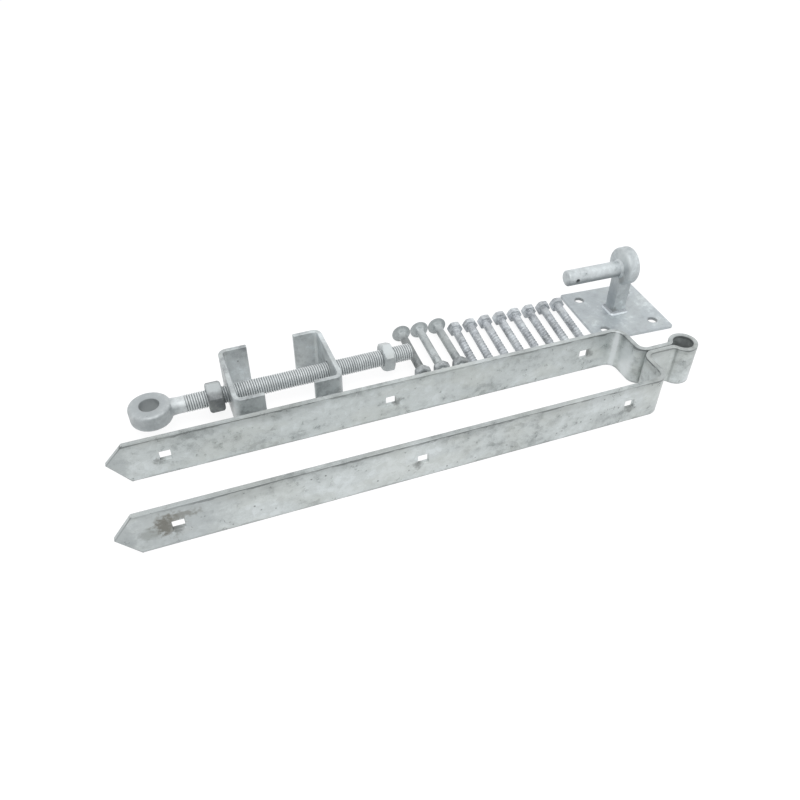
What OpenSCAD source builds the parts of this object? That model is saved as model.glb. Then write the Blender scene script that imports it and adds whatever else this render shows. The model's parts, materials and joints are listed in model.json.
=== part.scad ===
// Field gate hinge set for hanging a timber gate, laid out as it comes:
// a double strap band for the bottom of the gate, an adjustable eyebolt with
// two clamp brackets for the top, a hook on a plate for the post, and the
// coach bolts and coach screws that fix them.
// The band stands on its edge. The origin is on the axis of the band's rolled
// eye, on the floor, with +X from the arms towards the eye and +Y to the rear.

/* [Strap band] */
// Width of the strap, which is the height of the band as it stands
strap_w = 48; // [36:1:60]
// Thickness of the strap
strap_t = 5; // [4:0.5:7]
// Clear gap between the arms, where the gate stile goes
stile_gap = 86; // [64:1:110]
// Length of each arm, from the cross legs to the tip of its point
arm_length = 565; // [420:1:760]
// Length of the cut point at the end of each arm
point_length = 19; // [8:1:30]
// How far the rear arm's point sits above its middle line
rear_point_rise = 4; // [0:0.5:8]
// Inside radius of the bends from the arms to the cross legs
bend_r = 11; // [4:0.5:13]
// Inside radius of the folds from the cross legs to the neck
fold_r = 8; // [3:0.5:10]
// Inside radius of the turns from the neck into the eye
roll_r = 4.5; // [2:0.5:6]
// Distance from the eye's axis to the cross legs
neck_reach = 50; // [40:1:70]
// Bore of the rolled eye
eye_bore = 22; // [19:0.5:26]
// Open seam between the two layers of the neck
seam = 0.6; // [0.4:0.1:1]
// Side of each square bolt hole
bolt_hole = 11; // [10.5:0.5:14]
// Distance between bolt holes along an arm
hole_pitch = 232; // [150:1:260]
// Distance from the eye's axis to the first bolt hole
first_hole = 96; // [80:1:110]
// Bolt holes in each arm
holes_per_arm = 3; // [2:1:3]

/* [Hook plate] */
// Length of the plate along the pin
plate_l = 103; // [96:1:130]
// Width of the plate across the pin
plate_w = 103; // [92:1:130]
// Thickness of the plate
plate_t = 4; // [3:0.5:10]
// Radius of the plate's corners
plate_corner = 3; // [1:0.5:8]
// Diameter of the plate's screw holes
plate_hole = 11; // [9:0.5:13]
// Side of the square of screw holes
plate_pitch = 66.5; // [56:0.5:76]
// Side of the square stem
stem_w = 18; // [14:1:24]
// Height of the pin's axis above the floor
pin_height = 65; // [58:0.5:90]
// Diameter of the round head at the top of the stem
head_d = 45.5; // [36:1:50]
// Thickness of the round head
head_t = 16; // [12:1:18]
// How far the head's middle stands above the pin's axis
head_rise = 2.5; // [0:0.5:4]
// Rounding of the head's rim
head_round = 4; // [1:0.5:5]
// Diameter of the hook pin
pin_d = 19; // [16:0.5:20]
// Length of the hook pin from the head to its tip
pin_length = 72; // [60:1:110]
// Diameter of the split pin hole
split_hole = 5; // [4:0.5:6]
// Distance from the pin's tip to the split pin hole
split_inset = 11; // [8:0.5:20]
// Leg of the weld bead round the stem
stem_bead = 4; // [2:0.5:6]
// Leg of the weld bead round the pin
pin_bead = 2.5; // [1.5:0.5:4]

/* [Eyebolt] */
// Diameter of the threaded rod
rod_d = 19; // [16:0.5:20]
// Distance from the ring's axis to the rod's end
rod_length = 287; // [240:1:330]
// Outside diameter of the forged ring
ring_d = 44; // [38:0.5:50]
// Bore of the forged ring
ring_bore = 20; // [19:0.5:24]
// Thickness of the forged ring
ring_t = 19.5; // [14:0.5:22]
// Rounding of the ring's rim
ring_round = 3.5; // [0.5:0.5:4]
// Diameter of the plain neck beside the ring
neck_d = 18; // [15:0.5:18]
// Length of the plain neck from the ring
neck_length = 11; // [6:1:20]

/* [Clamp brackets] */
// Width of each bracket across the rod, outside
bracket_w = 90; // [76:1:110]
// Height of each bracket
bracket_h = 50.5; // [40:1:60]
// Length of each bracket's flanges, with the web
flange_length = 31.5; // [24:0.5:40]
// Thickness of the bracket plate
bracket_t = 5; // [4:0.5:6]
// Inside radius of the brackets' bends
bracket_bend = 4.5; // [2:0.5:7]
// Gap between the rod and its hole in a bracket, all round
bracket_play = 0.8; // [0.3:0.1:0.9]
// Distance from the ring's axis to the left bracket
left_bracket_at = 80; // [74:1:100]
// Distance from the left bracket's web to the right bracket's web
bracket_spread = 115; // [100:1:140]

/* [Rod nuts] */
// Size across the flats of the rod nuts
nut_af = 30; // [28:0.5:32]
// Thickness of the left nut
left_nut_t = 16; // [12:0.5:18]
// Thickness of the right nut
right_nut_t = 12; // [9:0.5:18]
// Free thread between the left nut and the left bracket
left_nut_gap = 6; // [2:0.5:10]
// Free thread beyond the right nut, to the rod's end
right_nut_stickout = 23; // [8:1:40]
// Gap between a nut and its thread, all round
thread_play = 0.06; // [0.02:0.01:0.1]

/* [Coach bolts] */
// Diameter of a coach bolt
bolt_d = 10; // [8:0.5:10]
// Length of a coach bolt under its head
bolt_length = 86; // [76:1:100]
// Diameter of the cup head
cup_d = 22.5; // [18:0.5:22.5]
// Height of the cup head
cup_h = 6.5; // [4:0.5:7]
// Length of the square neck under the cup head
square_neck = 6; // [4:0.5:8]
// Size across the flats of a coach bolt's nut
bolt_nut_af = 17; // [15:0.5:18]
// Thickness of a coach bolt's nut
bolt_nut_t = 8; // [6:0.5:10]
// Thread that shows beyond each nut
bolt_stickout = 4; // [1:0.5:8]
// Distance between coach bolts
bolt_spacing = 23; // [22.5:0.5:26]

/* [Coach screws] */
// Diameter of a coach screw
screw_d = 10; // [8:0.5:10]
// Length of a coach screw under its head
screw_length = 75; // [60:1:84]
// Length of a coach screw's tapered tip
screw_tip = 11; // [6:1:14]
// Size across the flats of a coach screw's head
screw_af = 16; // [13:0.5:16]
// Height of a coach screw's head
screw_head_h = 7; // [5:0.5:8]
// Distance between coach screws
screw_spacing = 20.4; // [20:0.1:22]

/* [Hidden] */

// Round parts
$fn = 72;
// Overrun of a cut beyond the metal
over = 1;
// Colours of the zinc coats
strap_zinc = [0.74, 0.77, 0.77];
plate_zinc = [0.72, 0.74, 0.78];
rod_zinc = [0.70, 0.73, 0.73];
dull_zinc = [0.50, 0.52, 0.54];
weld_zinc = [0.84, 0.87, 0.90];

// Strap band
eye_r = eye_bore / 2 + strap_t;
arm_inner_y = stile_gap / 2;
arm_outer_y = arm_inner_y + strap_t;
arm_tip_x = -neck_reach - arm_length;
layer_y = seam / 2;
neck_half = layer_y + strap_t;
fillet_x = sqrt(pow(eye_r + roll_r, 2) - pow(neck_half + roll_r, 2));

// The loose pieces lie in a row behind the band, from the hook plate leftwards.
// Clear floor between the band's rear arm and the pieces behind it
hook_clear = 32;
screw_clear = 32;
bolt_clear = 33;
rod_clear = 17.5;
// From the plate's edge to the last screw's axis, from there to the bolts, and on to the rod's end
screw_gap = 16.7;
bolt_gap = 20;
rod_gap = 9;
coach_screws = 8;
coach_bolts = 3;

// Hook plate: place on the floor of its middle, and how far it is turned
plate_x = 7;
plate_y = arm_outer_y + hook_clear + plate_w / 2;
plate_turn = -2.8;
// How the stem is welded on: behind the plate's middle, and a little turned
stem_back = 2;
stem_turn = 1.8;
head_height = pin_height + head_rise;
// Height over which the stem narrows to the head
shoulder_h = 6;
// The pin is a little thicker under its weld, so its free length starts where the bead ends
pin_root_d = pin_d + 1;

// Coach screws: middle of the underside of the first head, and how they lean
screw_x = plate_x - plate_l / 2 - screw_gap - (coach_screws - 1) * screw_spacing;
screw_y = arm_outer_y + screw_clear + screw_length;
screw_z = screw_af / 2;
screw_lean = 3.8;
lean_step = 0.1;
row_slant = 0.6;
screw_dip = atan((screw_z - screw_d / 2) / (screw_length - screw_tip));

// Coach bolts: middle of the underside of the first head, and how they lean
bolt_x = screw_x - bolt_gap - (coach_bolts - 1) * bolt_spacing;
bolt_y = arm_outer_y + bolt_clear + bolt_length;
bolt_lean = 2.5;
bolt_z = cup_d / 2;
bolt_nut_at = bolt_length - bolt_stickout - bolt_nut_t;

// Eyebolt: place of the ring's axis, and how far the rod is turned
ring_x = bolt_x - rod_gap - rod_length;
ring_y = arm_outer_y + rod_clear + bracket_w / 2;
rod_turn = 0.78;
rod_z = bracket_h / 2;
right_bracket_at = left_bracket_at + bracket_spread;
bracket_hole_r = rod_d / 2 + bracket_play;
nut_bore_r = rod_d / 2 + thread_play;

// One quarter of a bend of the strap, seen from above, open towards +X and +Y
module bend_quarter(inside, thickness) {
    intersection() {
        difference() {
            circle(r = inside + thickness);
            circle(r = inside);
        }
        square(inside + thickness);
    }
}

// The rear half of the folded strap seen from above: an arm, its cross leg and its layer of the neck
module half_fold() {
    corner_x = -neck_reach - strap_t - bend_r;
    corner_y = arm_inner_y - bend_r;
    turn_x = -neck_reach + fold_r;
    turn_y = neck_half + fold_r;
    translate([arm_tip_x, arm_inner_y]) square([corner_x - arm_tip_x, strap_t]);
    translate([corner_x, corner_y]) bend_quarter(bend_r, strap_t);
    translate([-neck_reach - strap_t, turn_y]) square([strap_t, corner_y - turn_y]);
    translate([turn_x, turn_y]) rotate(180) bend_quarter(fold_r, strap_t);
    translate([turn_x, layer_y]) square([-turn_x - eye_bore / 4, strap_t]);
    difference() {
        translate([-fillet_x, 0])
            square([fillet_x - eye_r / 2, neck_half + roll_r * (1 - roll_r / (eye_r + roll_r))]);
        translate([-fillet_x, neck_half + roll_r]) circle(r = roll_r);
        translate([-fillet_x - over, -over]) square([fillet_x + eye_r + over, over + layer_y]);
    }
}

// The strap rolled round the pin and folded back on itself
module folded_outline() {
    difference() {
        union() {
            half_fold();
            mirror([0, 1]) half_fold();
            circle(r = eye_r);
        }
        circle(d = eye_bore);
        translate([-neck_reach, -layer_y]) square([neck_reach, seam]);
    }
}

// What is cut off one arm to leave its point, rise being the point's height above the middle
module point_cut(rise) {
    middle = strap_w / 2 + rise;
    translate([arm_tip_x, 0, 0]) rotate([90, 0, 0])
        translate([0, 0, -strap_t - over]) linear_extrude(strap_t + 2 * over) {
            polygon([[-over, middle], [0, middle], [point_length, strap_w], [point_length, strap_w + over],
                [-over, strap_w + over]]);
            polygon([[-over, middle], [0, middle], [point_length, 0], [point_length, -over],
                [-over, -over]]);
        }
}

module double_strap_band() {
    color(strap_zinc) difference() {
        linear_extrude(strap_w) folded_outline();
        for (i = [0 : holes_per_arm - 1])
            translate([-first_hole - i * hole_pitch, 0, strap_w / 2])
                cube([bolt_hole, stile_gap + 2 * strap_t + 2 * over, bolt_hole], center = true);
        translate([0, -arm_outer_y, 0]) point_cut(0);
        translate([0, arm_inner_y, 0]) point_cut(rear_point_rise);
    }
}

// Puts the hook plate and what is welded to it in place
module on_plate() {
    translate([plate_x, plate_y, 0]) rotate([0, 0, plate_turn]) children();
}

// Puts the hook in place on the plate, with -X along its pin
module on_stem() {
    on_plate() translate([0, stem_back, 0]) rotate([0, 0, stem_turn]) children();
}

module base_plate() {
    color(plate_zinc) on_plate() difference() {
        linear_extrude(plate_t) {
            square([plate_l - 2 * plate_corner, plate_w], center = true);
            square([plate_l, plate_w - 2 * plate_corner], center = true);
            for (x = [-1, 1], y = [-1, 1])
                translate([x * (plate_l / 2 - plate_corner), y * (plate_w / 2 - plate_corner)])
                    circle(r = plate_corner);
        }
        for (x = [-1, 1], y = [-1, 1])
            translate([x * plate_pitch / 2, y * plate_pitch / 2, -over])
                cylinder(h = plate_t + 2 * over, d = plate_hole);
    }
}

// A disc with a rounded rim, from z = 0 up
module rounded_disc(d, t, round) {
    rotate_extrude() {
        square([d / 2 - round, t]);
        translate([0, round]) square([d / 2, t - 2 * round]);
        translate([d / 2 - round, round]) circle(r = round);
        translate([d / 2 - round, t - round]) circle(r = round);
    }
}

// The square stem, which narrows to the thickness of the round head forged on its top
module hook_stem() {
    shoulder_top = pin_height - pin_d / 2 - pin_bead;
    color(plate_zinc) on_stem() {
        translate([0, stem_w / 2, 0]) rotate([90, 0, 0]) linear_extrude(stem_w)
            polygon([[-stem_w / 2, plate_t], [stem_w / 2, plate_t],
                [stem_w / 2, shoulder_top - shoulder_h], [head_t / 2, shoulder_top],
                [head_t / 2, head_height], [-head_t / 2, head_height],
                [-head_t / 2, shoulder_top], [-stem_w / 2, shoulder_top - shoulder_h]]);
        translate([-head_t / 2, 0, head_height]) rotate([0, 90, 0])
            rounded_disc(head_d, head_t, head_round);
    }
}

// The pin that the eyes turn on, with its chamfered tip and split pin hole
module hook_pin() {
    chamfer = pin_d / 10;
    color(plate_zinc) on_stem() translate([-head_t / 2, 0, pin_height]) rotate([0, -90, 0]) difference() {
        union() {
            cylinder(h = pin_bead, d1 = pin_root_d, d2 = pin_d);
            translate([0, 0, pin_bead]) cylinder(h = pin_length - pin_bead - chamfer, d = pin_d);
            translate([0, 0, pin_length - chamfer])
                cylinder(h = chamfer, d1 = pin_d, d2 = pin_d - 2 * chamfer);
        }
        translate([0, 0, pin_length - split_inset]) rotate([90, 0, 0])
            cylinder(h = pin_d + 2 * over, d = split_hole, center = true);
    }
}

// The bead that welds the stem to the plate
module stem_weld() {
    color(weld_zinc) on_stem() translate([0, 0, plate_t]) difference() {
        union() {
            for (turn = [0 : 90 : 270]) rotate([0, 0, turn]) {
                translate([stem_w / 2, 0, 0]) rotate([90, 0, 0])
                    cylinder(h = stem_w, r = stem_bead, center = true);
                translate([stem_w / 2, stem_w / 2, 0]) sphere(r = stem_bead);
            }
        }
        translate([-stem_w / 2, -stem_w / 2, -over]) cube([stem_w, stem_w, stem_bead + 2 * over]);
        translate([0, 0, -stem_bead - over])
            linear_extrude(stem_bead + over) square(stem_w + 4 * stem_bead, center = true);
    }
}

// The bead that welds the pin to the head
module pin_weld() {
    color(weld_zinc) on_stem() translate([-head_t / 2, 0, pin_height]) rotate([0, -90, 0])
        rotate_extrude() difference() {
            translate([pin_d / 2, 0]) circle(r = pin_bead);
            polygon([[pin_d / 2 - 2 * pin_bead, 0], [pin_root_d / 2, 0], [pin_d / 2, pin_bead],
                [pin_d / 2 - 2 * pin_bead, pin_bead + over]]);
            translate([0, -2 * pin_bead]) square([pin_d + pin_bead, 2 * pin_bead]);
        }
}

// Puts the eyebolt and what it carries in place, +X along the rod
module on_rod() {
    translate([ring_x, ring_y, rod_z]) rotate([0, 0, rod_turn]) children();
}

// The threaded rod forged into a ring, lying with the ring flat
module eyebolt() {
    chamfer = rod_d / 12;
    neck_end = ring_d / 2 + neck_length;
    color(rod_zinc) on_rod() difference() {
        union() {
            translate([0, 0, -ring_t / 2]) rounded_disc(ring_d, ring_t, ring_round);
            rotate([0, 90, 0]) cylinder(h = neck_end, d = neck_d);
            translate([neck_end, 0, 0]) rotate([0, 90, 0])
                cylinder(h = rod_length - neck_end - chamfer, d = rod_d);
            translate([rod_length - chamfer, 0, 0]) rotate([0, 90, 0])
                cylinder(h = chamfer, d1 = rod_d, d2 = rod_d - 2 * chamfer);
        }
        cylinder(h = ring_d, d = ring_bore, center = true);
    }
}

// A clamp bracket bent into a channel, its web's outside at x = 0 and its flanges towards +X
module clamp_bracket() {
    bend_y = bracket_w / 2 - bracket_t - bracket_bend;
    bend_x = bracket_t + bracket_bend;
    difference() {
        translate([0, 0, -bracket_h / 2]) linear_extrude(bracket_h) {
            translate([0, -bend_y]) square([bracket_t, 2 * bend_y]);
            for (side = [0, 1]) mirror([0, side]) {
                translate([bend_x, bend_y]) rotate(90) bend_quarter(bracket_bend, bracket_t);
                translate([bend_x, bracket_w / 2 - bracket_t])
                    square([flange_length - bend_x, bracket_t]);
            }
        }
        rotate([0, 90, 0]) cylinder(h = 4 * bracket_t, r = bracket_hole_r, center = true);
    }
}

module left_bracket() {
    color(strap_zinc) on_rod() translate([left_bracket_at, 0, 0]) clamp_bracket();
}

module right_bracket() {
    color(strap_zinc) on_rod() translate([right_bracket_at, 0, 0]) mirror([1, 0, 0]) clamp_bracket();
}

// A hexagon nut from z = 0 up, with a corner towards +X and its end corners turned off
module hex_nut(af, thickness, bore_r) {
    corner_r = af / 2 / cos(30);
    crown = (corner_r - af / 2) * tan(30);
    difference() {
        intersection() {
            cylinder(h = thickness, r = corner_r, $fn = 6);
            rotate_extrude() polygon([[0, 0], [af / 2, 0], [corner_r, crown],
                [corner_r, thickness - crown], [af / 2, thickness], [0, thickness]]);
        }
        translate([0, 0, -over]) cylinder(h = thickness + 2 * over, r = bore_r);
    }
}

module left_rod_nut() {
    color(dull_zinc) on_rod()
        translate([left_bracket_at - left_nut_gap - left_nut_t, 0, 0]) rotate([0, 90, 0])
            hex_nut(nut_af, left_nut_t, nut_bore_r);
}

module right_rod_nut() {
    color(rod_zinc) on_rod()
        translate([rod_length - right_nut_stickout - right_nut_t, 0, 0]) rotate([0, 90, 0])
            hex_nut(nut_af, right_nut_t, nut_bore_r);
}

// Puts coach bolt number i in place, with +Z along its shank from under its head
module on_bolt(i) {
    translate([bolt_x + (i - 1) * bolt_spacing, bolt_y, bolt_z])
        rotate([0, 0, -bolt_lean]) rotate([90, 0, 0]) children();
}

// A cup head coach bolt with its square neck
module coach_bolt(i) {
    cup_sphere = (pow(cup_d / 2, 2) + pow(cup_h, 2)) / (2 * cup_h);
    chamfer = bolt_d / 10;
    color(rod_zinc) on_bolt(i) {
        intersection() {
            translate([0, 0, cup_sphere - cup_h]) sphere(r = cup_sphere);
            translate([0, 0, -cup_h - over]) cylinder(h = cup_h + over, d = cup_d + over);
        }
        translate([-bolt_d / 2, -bolt_d / 2, 0]) cube([bolt_d, bolt_d, square_neck]);
        translate([0, 0, square_neck])
            cylinder(h = bolt_length - square_neck - chamfer, d = bolt_d);
        translate([0, 0, bolt_length - chamfer])
            cylinder(h = chamfer, d1 = bolt_d, d2 = bolt_d - 2 * chamfer);
    }
}

module coach_bolt_nut(i) {
    color(dull_zinc) on_bolt(i) translate([0, 0, bolt_nut_at]) rotate([0, 0, 90])
        hex_nut(bolt_nut_af, bolt_nut_t, bolt_d / 2 + thread_play);
}

// A hexagon head coach screw, lying on a flat of its head with its tip on the floor
module coach_screw(i) {
    lean = screw_lean + (i - 1) * lean_step;
    corner_r = screw_af / 2 / cos(30);
    crown = (corner_r - screw_af / 2) * tan(30);
    color(rod_zinc)
        translate([screw_x + (i - 1) * screw_spacing, screw_y + (i - 1) * row_slant, screw_z])
            rotate([0, 0, -lean]) rotate([90 + screw_dip, 0, 0]) {
                translate([0, 0, -screw_head_h]) intersection() {
                    cylinder(h = screw_head_h, r = corner_r, $fn = 6);
                    rotate_extrude() polygon([[0, 0], [screw_af / 2, 0], [corner_r, crown],
                        [corner_r, screw_head_h], [0, screw_head_h]]);
                }
                cylinder(h = screw_length - screw_tip, d = screw_d);
                translate([0, 0, screw_length - screw_tip])
                    cylinder(h = screw_tip, d1 = screw_d, d2 = screw_d / 8);
            }
}

double_strap_band();
base_plate();
hook_stem();
hook_pin();
stem_weld();
pin_weld();
eyebolt();
left_bracket();
right_bracket();
left_rod_nut();
right_rod_nut();
coach_bolt(1);  // coach_bolt_1
coach_bolt(2);  // coach_bolt_2
coach_bolt(3);  // coach_bolt_3
coach_bolt_nut(1);  // coach_bolt_nut_1
coach_bolt_nut(2);  // coach_bolt_nut_2
coach_bolt_nut(3);  // coach_bolt_nut_3
coach_screw(1);  // coach_screw_1
coach_screw(2);  // coach_screw_2
coach_screw(3);  // coach_screw_3
coach_screw(4);  // coach_screw_4
coach_screw(5);  // coach_screw_5
coach_screw(6);  // coach_screw_6
coach_screw(7);  // coach_screw_7
coach_screw(8);  // coach_screw_8
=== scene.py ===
"""A galvanised field gate hinge set, laid out loose on a white floor.

Each class below is one sub-assembly of the set. It holds its sizes in millimetres, builds its meshes
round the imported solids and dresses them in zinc.
"""

import json
import logging
import math
from collections.abc import Iterable, Sequence
from dataclasses import dataclass, field, replace
from enum import Enum

import bmesh
import bpy
from mathutils import Matrix, Vector, noise


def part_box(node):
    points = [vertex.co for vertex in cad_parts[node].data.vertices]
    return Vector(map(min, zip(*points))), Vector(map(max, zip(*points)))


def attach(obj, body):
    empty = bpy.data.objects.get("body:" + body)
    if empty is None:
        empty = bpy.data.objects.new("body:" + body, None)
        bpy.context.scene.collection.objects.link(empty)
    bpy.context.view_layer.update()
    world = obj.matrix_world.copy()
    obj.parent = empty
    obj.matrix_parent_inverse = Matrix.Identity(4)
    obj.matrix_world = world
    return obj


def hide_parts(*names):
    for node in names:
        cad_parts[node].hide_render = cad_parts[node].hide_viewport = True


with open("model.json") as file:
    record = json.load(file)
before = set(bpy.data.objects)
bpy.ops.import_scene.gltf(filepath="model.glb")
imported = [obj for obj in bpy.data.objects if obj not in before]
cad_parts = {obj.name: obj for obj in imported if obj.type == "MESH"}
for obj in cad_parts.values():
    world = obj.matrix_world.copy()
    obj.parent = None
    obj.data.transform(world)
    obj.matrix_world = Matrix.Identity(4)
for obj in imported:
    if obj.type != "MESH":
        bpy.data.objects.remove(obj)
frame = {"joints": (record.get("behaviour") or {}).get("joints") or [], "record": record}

log = logging.getLogger("gate_hinge")

MM = 0.001
FULL_TURN = 2 * math.pi
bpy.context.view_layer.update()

Colour = tuple[float, float, float]
Point = tuple[float, float, float]

# Sizes in the zinc's pattern, in millimetres.
GRAIN_SIZE = 1.3
SPANGLE_SIZE = 5.5
PIT_SPACING = 8.0
WORN_EDGE = 1.1
RIM = 48.0  # height of the strap's upper edge, below which the runs hang
LUMP_SIZES = (7.0, 2.6)  # coarse and fine lumps of a forged surface

ROUND_STEPS = 48
QUARTER_ARC = [math.radians(15 * k) for k in range(7)]
HALF_SIDE = math.radians(30)  # half of the angle that a hexagon's side takes
NUT_PLAY = 0.06
SHANK_TONES_AND_SHADOW = (0.72, 0.97, 0.88)  # how bright each coach bolt's shank is painted; the first is dimmed as a painted shadow of the rod's end
WARM_ZINC = (0.79, 0.80, 0.765)
WHITE = (1.0, 1.0, 1.0, 1.0)


def linear(shade: Colour) -> tuple[float, float, float, float]:
    """Turns a colour as the eye sees it into the linear values that a shader takes.

    Args:
        shade: Red, green and blue from 0 to 1, as on a screen.

    Returns:
        The same colour, linear, with an alpha of 1.
    """
    def one(value: float) -> float:
        """Converts one channel."""
        return value / 12.92 if value <= 0.04045 else ((value + 0.055) / 1.055) ** 2.4

    return (one(shade[0]), one(shade[1]), one(shade[2]), 1.0)


def smooth(value: float) -> float:
    """Eases a value from 0 to 1, flat at both ends."""
    t = min(max(value, 0.0), 1.0)
    return t * t * (3 - 2 * t)


class Sock:
    """A shader socket that takes part in arithmetic: each operator adds the Math node it stands for."""

    def __init__(self, graph: "Graph", socket: bpy.types.NodeSocket) -> None:
        """Wraps one output socket of a graph."""
        self.graph = graph
        self.socket = socket

    def _math(self, operation: str, first: "Sock | float", second: "Sock | float") -> "Sock":
        """Adds a Math node on two values."""
        return self.graph.add("ShaderNodeMath", {"operation": operation}, {0: first, 1: second})

    def __add__(self, other: "Sock | float") -> "Sock":
        """Adds."""
        return self._math("ADD", self, other)

    def __radd__(self, other: float) -> "Sock":
        """Adds, from the right."""
        return self._math("ADD", other, self)

    def __sub__(self, other: "Sock | float") -> "Sock":
        """Subtracts."""
        return self._math("SUBTRACT", self, other)

    def __rsub__(self, other: float) -> "Sock":
        """Subtracts this from a number."""
        return self._math("SUBTRACT", other, self)

    def __mul__(self, other: "Sock | float") -> "Sock":
        """Multiplies."""
        return self._math("MULTIPLY", self, other)

    def __rmul__(self, other: float) -> "Sock":
        """Multiplies, from the right."""
        return self._math("MULTIPLY", other, self)

    def ramp(self, low: float, high: float) -> "Sock":
        """Rises smoothly from 0 at low to 1 at high, or falls where high is the smaller."""
        span = {"Value": self, "From Min": low, "From Max": high}
        return self.graph.add("ShaderNodeMapRange", {"interpolation_type": "SMOOTHSTEP"}, span)


class Graph:
    """A node tree that is being written."""

    def __init__(self, tree: bpy.types.NodeTree) -> None:
        """Starts from an emptied tree."""
        tree.nodes.clear()
        self.tree = tree

    def add(self, kind: str, settings: dict | None = None, inputs: dict | None = None,
            output: str | int = 0) -> Sock:
        """Adds any node.

        Args:
            kind: The node's type, such as ShaderNodeTexNoise.
            settings: Attributes of the node, which are set before its sockets.
            inputs: Values or links by the socket's name or number.
            output: The name or number of the socket to return.

        Returns:
            The wanted output, or the first input of a node with no outputs.
        """
        node = self.tree.nodes.new(kind)
        for key, value in (settings or {}).items():
            setattr(node, key, value)
        for key, value in (inputs or {}).items():
            if isinstance(value, Sock):
                self.tree.links.new(value.socket, node.inputs[key])
            else:
                node.inputs[key].default_value = value
        sockets = node.outputs if len(node.outputs) else node.inputs
        return Sock(self, sockets[output])

    def mix(self, share: "Sock | float", first: "Sock | tuple", second: "Sock | tuple") -> Sock:
        """Blends two colours, with that share of the second."""
        return self.add("ShaderNodeMix", {"data_type": "RGBA"}, {0: share, 6: first, 7: second}, 2)

    def noise(self, where: Sock, size: float, detail: float, roughness: float) -> Sock:
        """Adds a noise texture whose lumps are about `size` millimetres across."""
        inputs = {"Vector": where, "Scale": 1 / (size * MM), "Detail": detail, "Roughness": roughness}
        return self.add("ShaderNodeTexNoise", {}, inputs)

    def background_rays(self) -> Sock:
        """Tells which rays see the background: those of the camera, and of metal and glass.

        Returns:
            1 for such a ray and 0 for any other.
        """
        names = ("Is Camera Ray", "Is Glossy Ray", "Is Transmission Ray")
        camera, glossy, clear = (self.add("ShaderNodeLightPath", output=name) for name in names)
        settings = {"operation": "ADD", "use_clamp": True}
        return self.add("ShaderNodeMath", settings, {0: camera + glossy, 1: clear})

    def stretch(self, where: Sock, by: Point, shift: Point = (0.0, 0.0, 0.0)) -> Sock:
        """Scales and then shifts coordinates."""
        scaled = self.add("ShaderNodeVectorMath", {"operation": "MULTIPLY"}, {0: where, 1: by})
        return self.add("ShaderNodeVectorMath", {"operation": "ADD"}, {0: scaled, 1: shift})


@dataclass(frozen=True)
class StainOrPaintedLight:
    """A patch laid on a coat: a real stain, painted shade or a painted highlight.

    Attributes:
        centre: Middle of the patch in millimetres, in the set's frame.
        reach: Its radii along X, Y and Z.
        shade: Its colour.
        strength: How much of the coat it hides.
        ragged: How ragged its outline is, in shares of its radii.
    """

    centre: Point
    reach: Point
    shade: Colour
    strength: float
    ragged: float = 1.7


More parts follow.
